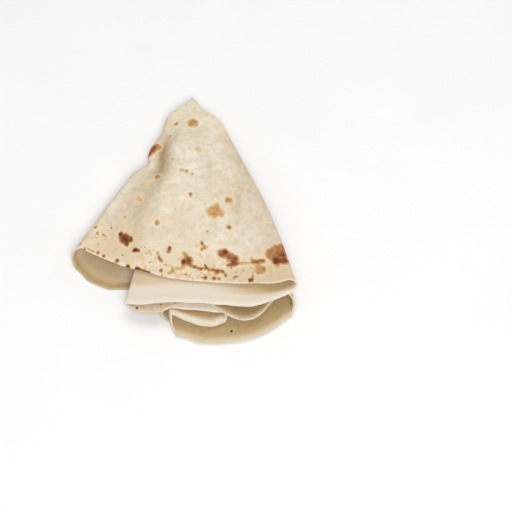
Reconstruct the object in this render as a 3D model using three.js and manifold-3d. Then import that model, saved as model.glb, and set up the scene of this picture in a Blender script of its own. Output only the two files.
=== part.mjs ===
// A rumali roti: one thin round sheet of soft wheat bread, folded like a handkerchief into a wedge.
// The sheet runs round the tip as one closed ring of flat runs joined by rounded folds.
// Millimetres, +Z up. The tip points to +Y and the open rims to -Y. The wedge lies on Z = 0.
import * as THREE from "three";
import Module from "manifold-3d";

// Driving dimensions
const THICKNESS = 1.3; // of the bread itself
const PITCH = 1.7; // from one layer to the next where they are pressed together at the tip
const FOLDED_LENGTH = 190; // from the tip to the height where the rim's layer heights are given
const SHEET_START = 18; // the folded layers begin this far from the tip, inside the pinched tip
const TIP = { x: 3.19, y: 108.58 }; // the tip's place, which centres the wedge on the origin

// Mesh steps
const ROWS = 20; // from the tip to the rim
const FOLD_STEPS = 7; // round one fold

// Fold lines: side 1 is right and -1 left, angle from the wedge's axis in degrees, offset of the line
// from the tip in mm, and bulge as the depth of the fold for each mm of half its height
const FOLDS = {
  outerLeft: { side: -1, angle: -30.7, offset: 3.2, bulge: 0.72 },
  coverRight: { side: 1, angle: 19.6, offset: 14.2, bulge: 0.9 },
  leafLeft: { side: -1, angle: -12.9, offset: -2.4, bulge: 0.8 },
  lobeRight: { side: 1, angle: 19.4, offset: 13.5, bulge: 0.7 },
  apronLeft: { side: -1, angle: -1.4, offset: -1.5, bulge: 1 },
  tongueRight: { side: 1, angle: 7.6, offset: 2, bulge: 0.9 },
  earLeft: { side: -1, angle: -4, offset: -2, bulge: 0.9 },
  underRight: { side: 1, angle: 17.5, offset: 8, bulge: 1 },
};

// Bows move a fold line to the right by a depth round a place along it
const BOWS = [
  { fold: "outerLeft", place: 72, length: 22, depth: 4.4 },
  { fold: "outerLeft", place: 20, length: 16, depth: -6.5 },
  { fold: "coverRight", place: 122, length: 66, depth: 6 },
  { fold: "lobeRight", place: 215, length: 16, depth: -3.5 },
  { fold: "apronLeft", place: 184, length: 17, depth: -8 },
];

// The runs in the order in which the sheet passes through them. level counts layers up from the floor.
// rise holds the layer's heights along its rim and reach the distances from the tip to its rim, both at
// even steps from the run's start to its end. hang is how far its free rim hangs down past hangFrom.
const RUNS = [
  {
    name: "cover",
    from: "outerLeft",
    to: "coverRight",
    level: 7,
    rise: [17, 18.2, 19, 21.2, 25],
    reach: [166, 167.5, 171.5, 175.5, 184],
    hang: 0,
    hangFrom: 178,
    steps: 16,
  },
  {
    name: "leaf",
    from: "coverRight",
    to: "leafLeft",
    level: 6,
    rise: [16, 17, 14.8],
    reach: [191.5, 195.5, 190.5, 189.7, 194],
    hang: 0,
    hangFrom: 178,
    steps: 7,
  },
  {
    name: "lining",
    from: "leafLeft",
    to: "lobeRight",
    level: 5,
    rise: [12.6, 11.8, 12.2, 13.6, 14.4, 14.3, 13.6, 9.6, 10.6, 12.8, 14.2],
    reach: [194, 197.5, 196, 191.5, 188, 188.5, 198, 200.5, 196, 192.5, 191.5],
    hang: 0,
    hangFrom: 178,
    steps: 12,
  },
  {
    name: "apron",
    from: "lobeRight",
    to: "apronLeft",
    level: 2,
    rise: [5.1, 5.1],
    reach: [209.5, 217, 218.2, 217.4, 211.5],
    hang: 3.9,
    hangFrom: 186,
    steps: 6,
  },
  {
    name: "tongueFloor",
    from: "apronLeft",
    to: "tongueRight",
    level: 3,
    rise: [9.4, 9.2, 7.9],
    reach: [208.5, 206, 204.4, 204.6, 205.6],
    hang: 4,
    hangFrom: 194,
    steps: 4,
  },
  {
    name: "tongueRoof",
    from: "tongueRight",
    to: "earLeft",
    level: 4,
    rise: [11.6, 11.6, 11.2],
    reach: [196.5, 193, 191.8],
    hang: 0,
    hangFrom: 178,
    steps: 4,
  },
  {
    name: "under",
    from: "earLeft",
    to: "underRight",
    level: 1,
    rise: [2.8, 2.6],
    reach: [198, 200, 190, 183, 180, 178, 178],
    hang: 1.9,
    hangFrom: 178,
    steps: 6,
  },
  {
    name: "base",
    from: "underRight",
    to: "outerLeft",
    level: 0,
    rise: [THICKNESS / 2, THICKNESS / 2],
    reach: [176, 175, 175, 176, 181, 177],
    hang: 0,
    hangFrom: 178,
    steps: 10,
  },
];

// The tightest folds still bulge by this much, more than half the bread's thickness
const LEAST_BULGE = 1;

// A free rim bends down over at least this length
const HANG_LENGTH = 12;

// Fold lines draw together close to the tip
const TUCK = { share: 0.5, length: 22 };

// A hollow in the cover beside the pinched fold
const HOLLOW = { x: -32, forward: 60, across: 9, along: 26, depth: 3.5 };

// The cover's crown: a flank at the left and a slow fall at the right, both in shares of the cover's
// width. It starts and is full at distances from the tip and fades over a length at the rim.
const CROWN = { height: 7.5, top: 0.3, right: 0.6, start: 22, full: 58, fade: 80 };

// Gentle waves through the whole stack, as a share of the height above the floor
const WAVES = [
  { share: 0.045, across: 118, along: 150, phase: 0.7 },
  { share: 0.03, across: -84, along: 96, phase: 2.1 },
];

// The fold lines of the layers draw in towards the point over this length
const NECK = 30;
const NECK_ROUNDNESS = 0.2; // how far its sides round outwards: 0 is a straight wedge

// The pinched tip, where all layers run together. Past its widest section it narrows into the layers.
const TIP_LENGTH = 27; // from the point to its end between the layers
const TIP_WIDEST = 17; // from the point to its widest section
const TIP_HALF_WIDTH = 17.2;
const TIP_SHIFT = 0.2; // the widest section lies this far to the right of the point
const TIP_TOP = 13.8; // just over the pressed layers
const TIP_POINT_HEIGHT = 8.5;
const TIP_NARROWING = { across: 0.3, up: 0.14 }; // for each mm past the widest section
const TIP_GROWTH = { across: 0.95, up: 0.7 }; // powers: 1 is a straight wedge, 0.5 a round nose
const TIP_SQUARENESS = 3.4; // power of the section's rounded outline
const TIP_SECTIONS = 9;
const TIP_SPREAD = 1.4; // power that sets the sections closer together at the point
const TIP_SIDES = 20;

const wasm = await Module();
wasm.setup();

const { lerp, smoothstep } = THREE.MathUtils;
const bell = (distance, width) => Math.exp(-((distance / width) ** 2));

// A smooth curve through values at even steps, read at a share of its length
function through(values, share) {
  const points = values.map((value, step) => new THREE.Vector2(step, value));
  return new THREE.SplineCurve(points).getPoint(share).y;
}

// Angle of a fold line and its offset from the tip's axis, read at a distance from the tip
function foldPlace(name, distance) {
  const angle = THREE.MathUtils.degToRad(FOLDS[name].angle);
  const widest = Math.max(distance, NECK);
  let offset = FOLDS[name].offset * (1 - TUCK.share * bell(widest, TUCK.length));
  for (const bow of BOWS.filter(({ fold }) => fold === name)) {
    offset += bow.depth * bell(distance - bow.place, bow.length);
  }
  return { angle, offset };
}

// A plan point between two fold places. Inside the neck it is drawn in towards the point.
function planPoint(start, end, share, distance, bulge) {
  const angle = lerp(start.angle, end.angle, share);
  const widest = Math.max(distance, NECK);
  const opened = distance / widest;
  const widening = opened * (1 + NECK_ROUNDNESS * (1 - opened ** 2));
  const x = (lerp(start.offset, end.offset, share) + widest * Math.sin(angle)) * widening;
  return { x: x + bulge * Math.cos(angle), forward: distance * Math.cos(angle) - bulge * Math.sin(angle) };
}

// Plan point on a run, between its two fold lines
function runPlace(run, share, distance) {
  return planPoint(foldPlace(run.from, distance), foldPlace(run.to, distance), share, distance, 0);
}

// Depth of the cover's hollow at a plan point
function hollowDepth(x, forward) {
  return HOLLOW.depth * bell(x - HOLLOW.x, HOLLOW.across) * bell(forward - HOLLOW.forward, HOLLOW.along);
}

// How far the cover's middle stands above its two folds
function crownHeight(share, distance, rimGap) {
  const flank = smoothstep(share, 0, CROWN.top);
  const fromRight = Math.min(1, (1 - share) / CROWN.right);
  const fall = 1 - (1 - fromRight) ** 2;
  const growth = smoothstep(distance, CROWN.start, CROWN.full) * smoothstep(rimGap, 0, CROWN.fade);
  return CROWN.height * flank * fall * growth;
}

// Height of a run's middle surface, from the pressed stack at the tip to the loose layers at the rim
function runHeight(run, share, distance) {
  const opening = (distance - SHEET_START) / (FOLDED_LENGTH - SHEET_START);
  const pressed = THICKNESS / 2 + run.level * PITCH;
  const reach = through(run.reach, share);
  const hangEnd = Math.max(run.hangFrom + HANG_LENGTH, reach);
  const hanging = run.hang * smoothstep(distance, run.hangFrom, hangEnd);
  const height = lerp(pressed, through(run.rise, share), opening) - hanging;
  if (run.name !== "cover") {
    return height;
  }
  const { x, forward } = runPlace(run, share, distance);
  return height - hollowDepth(x, forward) + crownHeight(share, distance, reach - distance);
}

// A point of the folded stack, moved to the tip's place and lifted by the waves
function settle(x, forward, height) {
  let share = 0;
  for (const wave of WAVES) {
    const turns = x / wave.across + forward / wave.along;
    share += wave.share * Math.sin(2 * Math.PI * turns + wave.phase);
  }
  const growth = Math.min(1, forward / FOLDED_LENGTH);
  const lift = (height - THICKNESS / 2) * share * growth;
  return new THREE.Vector3(TIP.x + x, TIP.y - forward, height + lift);
}

// A point on a flat run of the sheet
function runPoint(run, share, along) {
  const distance = lerp(SHEET_START, through(run.reach, share), along);
  const { x, forward } = runPlace(run, share, distance);
  return settle(x, forward, runHeight(run, share, distance));
}

// A point on the rounded fold between the end of one run and the start of the next
function foldPoint(run, next, share, along) {
  const fold = FOLDS[run.to];
  const distance = lerp(SHEET_START, lerp(through(run.reach, 1), through(next.reach, 0), share), along);
  const first = runHeight(run, 1, lerp(SHEET_START, through(run.reach, 1), along));
  const last = runHeight(next, 0, lerp(SHEET_START, through(next.reach, 0), along));
  const half = (first - last) / 2;
  const turn = Math.PI * share;
  const place = foldPlace(run.to, distance);
  const depth = Math.max(LEAST_BULGE, fold.bulge * Math.abs(half));
  const { x, forward } = planPoint(place, place, 0, distance, fold.side * depth * Math.sin(turn));
  return settle(x, forward, (first + last) / 2 + half * Math.cos(turn));
}

// The middle surface of the sheet as columns of points from the tip to the rim, once round the ring
function sheetColumns() {
  const columns = [];
  const addColumn = (pointAt) => {
    columns.push(Array.from({ length: ROWS + 1 }, (_, row) => pointAt(row / ROWS)));
  };
  RUNS.forEach((run, index) => {
    const next = RUNS[(index + 1) % RUNS.length];
    for (let step = 0; step < run.steps; step++) {
      addColumn((along) => runPoint(run, step / run.steps, along));
    }
    for (let step = 0; step < FOLD_STEPS; step++) {
      addColumn((along) => foldPoint(run, next, step / FOLD_STEPS, along));
    }
  });
  return columns;
}

// A closed solid from flat lists of coordinates and triangle corners
function solidFrom(coordinates, corners) {
  const vertProperties = new Float32Array(coordinates);
  const triVerts = new Uint32Array(corners);
  return new wasm.Manifold(new wasm.Mesh({ numProp: 3, vertProperties, triVerts }));
}

// The sheet with its thickness: both faces, split into triangles alike, and the strips at tip and rim
function sheetSolid() {
  const columns = sheetColumns();
  const count = columns.length;
  const stride = ROWS + 1;
  const faces = [[], []];
  const along = new THREE.Vector3();
  const round = new THREE.Vector3();
  columns.forEach((column, c) => {
    column.forEach((point, row) => {
      along.subVectors(column[Math.min(row + 1, ROWS)], column[Math.max(row - 1, 0)]);
      round.subVectors(columns[(c + 1) % count][row], columns[(c + count - 1) % count][row]);
      const normal = along.clone().cross(round).normalize();
      faces[0].push(point.clone().addScaledVector(normal, THICKNESS / 2));
      faces[1].push(point.clone().addScaledVector(normal, -THICKNESS / 2));
    });
  });
  const vertices = faces.flat().flatMap((p) => p.toArray());
  const other = count * stride;
  const triangles = [];
  const quad = (a, b, c, d) => triangles.push(a, b, c, a, c, d);
  for (let c = 0; c < count; c++) {
    const here = c * stride;
    const there = ((c + 1) % count) * stride;
    for (let row = 0; row < ROWS; row++) {
      quad(here + row, here + row + 1, there + row + 1, there + row);
      quad(other + here + row, other + there + row, other + there + row + 1, other + here + row + 1);
    }
    quad(here, there, other + there, other + here);
    quad(here + ROWS, other + here + ROWS, other + there + ROWS, there + ROWS);
  }
  return solidFrom(vertices, triangles);
}

// Cosine or sine bent towards a square outline
function squared(value) {
  return Math.sign(value) * Math.abs(value) ** (2 / TIP_SQUARENESS);
}

// The pinched tip: rounded sections that grow from a point and end inside the layers
function tipSolid() {
  const middle = TIP_TOP / 2;
  const vertices = [TIP.x, TIP.y, TIP_POINT_HEIGHT];
  const triangles = [];
  for (let section = 1; section <= TIP_SECTIONS; section++) {
    const forward = TIP_LENGTH * (section / TIP_SECTIONS) ** TIP_SPREAD;
    const growth = Math.min(1, forward / TIP_WIDEST);
    const inside = Math.max(0, forward - TIP_WIDEST);
    const halfWidth = TIP_HALF_WIDTH * growth ** TIP_GROWTH.across - TIP_NARROWING.across * inside;
    const halfHeight = middle * growth ** TIP_GROWTH.up - TIP_NARROWING.up * inside;
    const centre = { x: TIP.x + TIP_SHIFT * growth, z: lerp(TIP_POINT_HEIGHT, middle, growth) };
    for (let side = 0; side < TIP_SIDES; side++) {
      const angle = (2 * Math.PI * side) / TIP_SIDES;
      const x = centre.x + halfWidth * squared(Math.cos(angle));
      const z = centre.z + halfHeight * squared(Math.sin(angle));
      vertices.push(x, TIP.y - forward, z);
    }
  }
  const last = 1 + (TIP_SECTIONS - 1) * TIP_SIDES;
  const end = vertices.length / 3;
  vertices.push(TIP.x + TIP_SHIFT, TIP.y - TIP_LENGTH, middle);
  for (let side = 0; side < TIP_SIDES; side++) {
    const next = (side + 1) % TIP_SIDES;
    triangles.push(0, 1 + next, 1 + side);
    triangles.push(end, last + side, last + next);
    for (let section = 0; section < TIP_SECTIONS - 1; section++) {
      const near = 1 + section * TIP_SIDES;
      const far = near + TIP_SIDES;
      triangles.push(near + side, near + next, far + next, near + side, far + next, far + side);
    }
  }
  return solidFrom(vertices, triangles);
}

// The joined solid as a mesh geometry
function geometryFrom(solid) {
  const mesh = solid.getMesh();
  const geometry = new THREE.BufferGeometry();
  geometry.setAttribute("position", new THREE.BufferAttribute(mesh.vertProperties, 3));
  geometry.setIndex(new THREE.BufferAttribute(mesh.triVerts, 1));
  geometry.computeVertexNormals();
  return geometry;
}

// Pale cream bread, dry and matt
const bread = new THREE.MeshStandardMaterial({ color: 0xe9dfc8, roughness: 0.85, metalness: 0 });

const roti = new THREE.Mesh(geometryFrom(sheetSolid().add(tipSolid())), bread);
roti.name = "roti";

const rumaliRoti = new THREE.Group();
rumaliRoti.add(roti);

export default rumaliRoti;
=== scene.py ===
import math
from collections import namedtuple
from types import SimpleNamespace

import bpy
from mathutils import Color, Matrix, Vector


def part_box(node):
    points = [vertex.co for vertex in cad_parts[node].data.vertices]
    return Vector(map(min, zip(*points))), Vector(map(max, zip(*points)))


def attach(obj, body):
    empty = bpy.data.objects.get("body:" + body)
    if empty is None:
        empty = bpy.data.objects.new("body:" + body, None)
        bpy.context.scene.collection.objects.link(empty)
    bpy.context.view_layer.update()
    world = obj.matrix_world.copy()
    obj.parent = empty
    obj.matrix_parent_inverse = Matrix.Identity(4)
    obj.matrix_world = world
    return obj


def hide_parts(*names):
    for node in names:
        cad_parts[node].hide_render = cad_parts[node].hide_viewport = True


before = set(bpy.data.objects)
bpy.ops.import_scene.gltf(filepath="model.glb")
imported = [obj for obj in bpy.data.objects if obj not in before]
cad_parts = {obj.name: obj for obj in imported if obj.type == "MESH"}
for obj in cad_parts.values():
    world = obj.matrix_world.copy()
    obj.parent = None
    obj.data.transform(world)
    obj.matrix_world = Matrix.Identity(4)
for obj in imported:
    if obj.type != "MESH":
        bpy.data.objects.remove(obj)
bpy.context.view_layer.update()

# A rumali roti: one thin round sheet of soft wheat bread, folded like a handkerchief into a wedge.
# Sizes are in millimetres. A plan place is x to the right of the tip and forward from the tip to the
# open rims. The tip points to +Y. Meshes and node trees are in metres.
MM = 0.001
NODE = "roti"
SEED = 4

# The bread
THICKNESS = 1.3
PITCH = 1.7  # from one layer to the next where they are pressed together at the tip
PRESSED_END = 18  # the layers lie pressed up to here and open from here on
FOLDED_LENGTH = 190  # from the tip to where the layers have the heights given for their rims
LEAST_BULGE = 1  # of the tightest folds
MERGE_DISTANCE = 0.001  # points closer than this are one point

# The tip
TIP_SIDE = 3.19  # to the right of the wedge's middle
TIP_HEIGHT = 8.5
TIP_FORWARD = 0.3  # the point lies this far inside the solid's end
NECK = 30  # the pinched tip opens out over this length
TIP_ROUNDNESS = 0.2  # how far its sides round outwards: 0 is a straight wedge
TIP_FLATNESS = 0.9  # power of its thickening
TIP_THINNEST = 0.35  # share of the thickness that is left at the very point
TUCK_SHARE = 0.5  # fold lines draw together by this share at the tip
TUCK_LENGTH = 22  # and less and less over this length

# Fold lines: side 1 is right and -1 left, angle from the wedge's axis in degrees, offset of the line
# from the tip, bulge as the depth of the fold for each mm of half its height, and mesh columns round it
Fold = namedtuple("Fold", "side angle offset bulge columns")
FOLDS = {
    "outer_left": Fold(-1, -30.7, 3.2, 0.72, 16),
    "cover_right": Fold(1, 19.6, 14.2, 0.9, 12),
    "leaf_left": Fold(-1, -12.9, -2.4, 0.8, 10),
    "lobe_right": Fold(1, 19.4, 13.5, 0.7, 14),
    "apron_left": Fold(-1, -1.4, -1.5, 1, 8),
    "tongue_right": Fold(1, 7.6, 2, 0.9, 10),
    "ear_left": Fold(-1, -4, -2, 0.9, 10),
    "under_right": Fold(1, 17.5, 8, 1, 6),
}
FACE_TURN = (0.3, 0.65)  # shares of a fold over which the cover's face gives way to the next layer

# Bows move a fold line to the right by a depth, round a place along it and over a length to each side
Bow = namedtuple("Bow", "fold place length depth")
BOWS = {
    "pinch": Bow("outer_left", 72, 22, 4.4),
    "toasted_bump": Bow("outer_left", 60, 11, -3.2),
    "notch": Bow("outer_left", 79, 6.5, 3.4),
    "lower_bump": Bow("outer_left", 88, 8, -2.2),
    "left_shoulder": Bow("outer_left", 21, 18, -6.5),
    "right_cheek": Bow("cover_right", 11, 9, -9),
    "inner_cheek": Bow("lobe_right", 11, 9, -9),
    "under_cheek": Bow("under_right", 11, 9, -4.5),
    "swell": Bow("cover_right", 122, 66, 6),
    "lobe_tuck": Bow("lobe_right", 215, 16, -3.5),
    "apron_swing": Bow("apron_left", 184, 17, -8),
}

LIP_WIDTH = 3  # of the soft rolls along the rims
TALLEST_LIP = 1.8
HANG_LENGTH = 12  # a free rim bends down over at least this length

# The runs in the order in which the sheet passes through them. level counts layers up from the floor.
# rise holds the layer's heights along its rim and reach the distances from the tip to its rim. hang is how
# far its free rim hangs down past hang_from, lip is the height of the soft roll along its rim and lip_gap
# how far the roll's top lies from the rim. The last three entries paint shade onto the bread: its strength
# in the creases and between the layers where those above keep the light off, its strength at the rim, and
# how far in the rim's painted shade reaches. Lists go at even steps from the run's start to its end.
RUNS = [
    dict(
        name="cover", start="outer_left", end="cover_right", level=7, columns=173,
        rise=[17, 18.2, 19, 21.2, 25],
        reach=[166, 167.5, 171.5, 175.5, 184],
        hang=0, hang_from=178, lip=0, lip_gap=4,
        damp=[0.1, 0.3, 0.26, 0.1, 0.03, 0.06, 0.1, 0.1, 0.13, 0.2, 0.32],
        rim_damp=[0.05, 0.05, 0.12, 0.4, 0.52], damp_gap=[0, 0, 3, 9, 15],
    ),
    dict(
        name="leaf", start="cover_right", end="leaf_left", level=6, columns=32,
        rise=[16, 17, 14.8],
        reach=[191.5, 195.5, 190.5, 189.7, 194],
        hang=0, hang_from=178, lip=0.8, lip_gap=2.5,
        damp=[0.5, 0.36, 0.12, 0.2, 0.32],
        rim_damp=[0.06, 0.05], damp_gap=[0.5, 7, 10, 13, 14],
    ),
    dict(
        name="lining", start="leaf_left", end="lobe_right", level=5, columns=42,
        rise=[12.6, 11.8, 12.2, 13.6, 14.4, 14.3, 13.6, 9.6, 10.6, 12.8, 14.2],
        reach=[194, 197.5, 196, 191.5, 188, 188.5, 198, 203, 202.5, 194, 191.5],
        hang=0, hang_from=178, lip=0, lip_gap=1,
        damp=[0.3, 0.3, 0.35, 0.5, 0.7, 0.9, 1, 1, 1, 0.95, 0.9],
        rim_damp=[0.5, 0.5], damp_gap=[0, 0],
    ),
    dict(
        name="apron", start="lobe_right", end="apron_left", level=2, columns=28,
        rise=[5.1, 5.1],
        reach=[205, 212, 216, 217.5, 217, 214.5, 210],
        hang=3.9, hang_from=186, lip=1.1, lip_gap=2,
        damp=[0.8, 0.75, 0.7],
        rim_damp=[0.55, 0.55], damp_gap=[2, 2],
    ),
    dict(
        name="tongue_floor", start="apron_left", end="tongue_right", level=3, columns=18,
        rise=[9.4, 9.2, 7.9],
        reach=[196.5, 200.5, 203.5, 205, 202.5],
        hang=4, hang_from=194, lip=TALLEST_LIP, lip_gap=2,
        damp=[0.9, 1, 0.9],
        rim_damp=[0.35, 0.35], damp_gap=[2, 2],
    ),
    dict(
        name="tongue_roof", start="tongue_right", end="ear_left", level=4, columns=12,
        rise=[11.6, 11.6, 11.2],
        reach=[196.5, 193, 191.8],
        hang=0, hang_from=178, lip=0.5, lip_gap=4,
        damp=[0.1, 0.1],
        rim_damp=[0.1, 0.1], damp_gap=[2, 2],
    ),
    dict(
        name="under", start="ear_left", end="under_right", level=1, columns=10,
        rise=[2.8, 2.6],
        reach=[198, 200, 190, 183, 180, 178, 178],
        hang=1.9, hang_from=178, lip=0, lip_gap=2,
        damp=[0.7, 0.7],
        rim_damp=[0.3, 0.3], damp_gap=[2, 2],
    ),
    dict(
        name="base", start="under_right", end="outer_left", level=0, columns=24,
        rise=[THICKNESS / 2, THICKNESS / 2],
        reach=[176, 175.5, 175, 175, 175, 175.5, 175.8, 177.5, 182.3, 182.3, 177.5],
        hang=0, hang_from=178, lip=0, lip_gap=4,
        damp=[0, 0, 0, 0, 0.34, 0.34],
        rim_damp=[0.8, 0.8], damp_gap=[3, 3],
    ),
]
PLAIN_VALUES = ("hang", "hang_from", "lip", "lip_gap")  # of a run, the same all along it
COURSES = ("reach", "damp", "rim_damp", "damp_gap")  # of a run, read along its rim
ROWS = 118  # mesh rows from the tip to the rim
ROW_SPREAD = 0.94  # power that sets the rows closer together at the rim

# Values that every guide column takes into the node tree, apart from its points and bows
GUIDE_LENGTHS = (*PLAIN_VALUES, "reach", "damp_gap", "crown")
GUIDE_SHARES = ("damp", "rim_damp", "upper")

# A hollow in the cover beside the pinched fold: its middle, its lean to the right for each mm forward, its
# half width and half length, its depth, and how strongly shade is painted into it
HOLLOW = {"x": -22, "forward": 62, "lean": -0.06, "across": 5, "along": 21, "depth": 2.6, "painted_shade_strength": 0.6}

# Soft pleats in the cover: plan x and forward of both ends, half width and depth
PLEATS = [
    (39, 80, 35, 128, 3.5, 2),
    (9, 44, 15, 98, 4.5, 1.7),
    (-23, 76, -42, 114, 5, 1.5),
    (-40, 98, -43, 154, 6, 1.7),
    (58, 118, 62, 150, 4, 1.5),
]
PLEAT_FADE = 1 / 3  # share of a pleat's length over which it fades at each end
PLEAT_PAINTED_SHADE = 0.05  # painted shade in the pleats, for each mm of their depth

# The cover's crown: a flank at the left and a slow fall at the right, both in shares of the cover's
# width. It starts and is full at distances from the tip and fades over a length at the rim.
CROWN = {"height": 7.5, "foot": 0, "top": 0.3, "right": 0.6, "start": 22, "full": 58, "fade": 80}

# The painted shade in the creases and between the layers begins and is full at distances from the tip
PAINTED_SHADE_START = 30
PAINTED_SHADE_FULL = 52
PAINTED_SHADE_RAMP = 5  # length from the painted shade at the rim to the painted shade behind it

# Gentle waves through the whole stack: share of the height above the floor, length across and forward,
# and phase
WAVES = [
    (0.045, 118, 150, 0.7),
    (0.03, -84, 96, 2.1),
]

# Finer unevenness
RIPPLE_SHARE = 0.065  # of the height above the floor
RIPPLE_SIZE = 26
RIPPLE_DETAIL = 1
RAGGED_DEPTH = 1.6  # of the rim's uneven line
RAGGED_SIZE = 14
RAGGED_DETAIL = 3
RAGGED_REACH = 14
RIM_BULGE = 0.35  # the rounded edge of the bread
BLISTER_HEIGHT = 0.3
BLISTER_SIZE = 7
TOAST_RISE = 0.3  # bubbles that touched the griddle stand a little proud

# Toasted marks on the cover by how dark their middle is, as plan x, forward and radius
MARKS = {
    0.2: [
        (53, 114, 2.2), (9, 127, 2), (32, 138, 1.6), (57, 139, 1.6), (-5, 141, 1.6), (20, 147, 1.4),
        (48, 150, 1.5), (25, 159, 1.4),
    ],
    0.3: [
        (6.5, 57, 3), (-39, 100, 3.6), (21.5, 108, 2.6), (16, 113, 3.2), (48.5, 162, 1.5), (68, 162.5, 3),
        (49.5, 165, 1.6),
    ],
    0.38: [(20.5, 114, 6.2), (24.5, 115.5, 4)],
    0.42: [
        (-16, 41, 1.6), (5, 57.5, 1.7), (-13, 67, 1.6), (1.5, 28.5, 4.7), (-25.5, 51, 3.2), (31, 104, 3.6),
        (-50, 116.5, 1.8), (-63, 133, 1.4), (-23, 148, 1.6), (-2, 149, 2.2), (49, 155, 1.7),
        (50, 157.5, 2.2), (-32, 160, 1.2), (-15, 166, 1.2), (55, 164, 4.6),
    ],
    0.54: [
        (-11.5, 29, 1.9), (-2, 78.5, 1.5), (2, 81, 1.3), (-25, 81, 2.6), (1.5, 99, 1.8), (-24, 122.5, 2.1),
        (31.5, 128, 2.2), (-29, 146, 1.1), (-14.5, 147, 2), (-31.5, 148, 1.1), (-28, 149.5, 1.1),
        (74.5, 150, 3), (70.5, 152.5, 5.6), (71.5, 146.5, 4.6), (64.5, 151.5, 5.4), (67.5, 147.5, 4.2),
        (0, 155.5, 4.3), (9, 168, 1.1), (50, 169, 1.2),
    ],
    0.7: [
        (-72, 124.5, 1.5), (-70, 130, 1.1), (15, 131, 1.1), (-65.5, 131.5, 1.1), (11.5, 142, 1.1),
        (-79, 143.5, 1.1), (-69, 147, 1.5), (0, 152, 1.5), (34.5, 156, 1.6), (59, 163, 1.4), (43, 164, 1.1),
        (16.5, 164, 1.1), (22.5, 166.5, 1.3), (-9, 166.5, 1.1), (-1, 167, 1.3),
    ],
    0.8: [
        (-48.5, 135, 4.7), (-52, 135, 1.6), (28.5, 148.5, 2.8), (25.5, 150, 2), (73, 152, 2.4),
        (36.5, 154, 1.8), (1.5, 156, 1.9), (68.5, 157, 4), (74, 157.5, 2.9),
    ],
    1.0: [
        (-51.5, 131.5, 2.1), (-45, 135, 2.6), (-47.5, 139.5, 1.9), (10.5, 140.5, 1.1), (-13.5, 144, 1.4),
        (-40, 144.5, 1.6), (-64.5, 150, 1.3), (-54, 154, 1.7), (-2.5, 156.5, 2.2), (67.5, 158, 2.3),
        (-45.5, 159, 1.5), (14.5, 160.5, 1.3), (-20, 163.5, 1.3), (29.5, 168, 1.3), (14, 170, 1.4),
        (20.5, 170.5, 1.6), (24, 171, 1.2),
    ],
}

# Toasted streaks by how dark they are, as plan x and forward of both ends and half their width
STREAKS = {
    0.4: [(-7, 77, -3, 77.5, 1.3), (-18, 158.5, -12, 159, 1), (-11, 162, -2.5, 161.5, 1.4)],
    0.5: [(-26.5, 49.5, -31.5, 56, 2.4), (53.5, 167, 59, 165.5, 1.5)],
    0.6: [
        (26, 149, 36.5, 154.5, 3.4), (37.5, 158.5, 47, 158, 1), (10.5, 146, 15, 144, 1.2),
        (-77, 144, -72.5, 146, 1),
    ],
    0.72: [
        (-28.5, 51, -33, 57, 1.9), (51, 157.5, 58, 157, 1.7), (31.5, 159.5, 37.5, 158.5, 1.9),
        (2.5, 159.5, 9.5, 162, 1.2), (10, 162.5, 15.5, 162, 1.1), (18, 162.5, 20.5, 163.5, 1.1),
        (-22, 151.5, -20, 155, 1.2), (35.5, 170.5, 38.5, 169, 1.1), (-13.5, 165, -11, 164.5, 1),
    ],
    0.84: [(21, 164, 27, 164.5, 1.4), (-32.5, 163.5, -28.5, 164.5, 1.1), (-42, 145.5, -37.5, 145.5, 1.3)],
    1.0: [(-38.5, 161, -33.5, 163.5, 1.4), (47.5, 172.5, 49.5, 172, 1.2)],
}
STREAK_STEP = 0.7  # from one dot of a streak to the next, for each mm of its half width

# Stages of toasting and the darkest mark of each. A darker stage shows on top of a paler one.
STAGES = {"golden": 0.45, "brown": 0.65, "charred": 1.0}
STAGE_MATCH = 0.5  # stages are whole numbers, told apart by this much
MARK_SOFTNESS = 0.5  # share of its radius by which a mark fades inside and outside its outline
MARK_WARP = 1.1  # how far the marks' outlines wander
MARK_WARP_SIZE = 4
MARK_BLUR = 1  # rounds of softening from one mesh point to the next
MARK_BLUR_WEIGHT = 0.6

# Lone specks on the layers below the cover, as plan x, forward, radius and darkness
STRAY_SPECKS = [
    (-37.7, 191.7, 1.1, 0.95),
    (-19.6, 189.2, 0.9, 0.85),
    (4.7, 187.8, 1, 0.8),
    (33.8, 206.5, 1.3, 1.0),
]
STRAY_EDGE = (0.4, 1.4)  # shares of its radius between which such a speck fades

# Colours in steps of red, green and blue as they look on a screen
SCREEN_STEPS = 255
CREAM = (232, 218, 192)
IVORY = (239, 231, 215)
DULL = (212, 195, 162)
INNER = (228, 217, 200)
# painted warm glow of light passing through and between the thin layers
PAINTED_GLOW_HONEY = (224, 200, 156)
# painted shade: the tan laid on creases and on layers in the shade of those above
PAINTED_SHADE_TAN = (170, 141, 94)
# painted highlight along the rims and the crests of their soft rolls
RIM_PAINTED_HIGHLIGHT = (239, 231, 212)
RIM_WARM = (228, 206, 170)
SMEAR = (218, 182, 122)
TOAST_STOPS = [
    (0.0, (238, 216, 182)),
    (0.2, (226, 202, 162)),
    (0.36, (202, 164, 114)),
    (0.5, (183, 131, 82)),
    (0.66, (152, 95, 58)),
    (0.82, (119, 65, 34)),
    (1.0, (82, 39, 16)),
]
FLOOR_GREYS = ((243, 243, 243), (248, 248, 248))

# Patches in the finish: grains for each metre, detail and roughness of a cloud, and the two cloud values
# between which the patch comes in
PATCHES = {
    "broad": (32, 3, 0.5, 0.35, 0.65),
    "fine": (260, 4, 0.6, 0.38, 0.68),
    "dull": (80, 2, 0.5, 0.42, 0.66),
    "pale": (150, 3, 0.55, 0.55, 0.72),
    "smear": (190, 3, 0.6, 0.54, 0.7),
    "cluster": (48, 2, 0.5, 0.4, 0.62),
}

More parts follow.
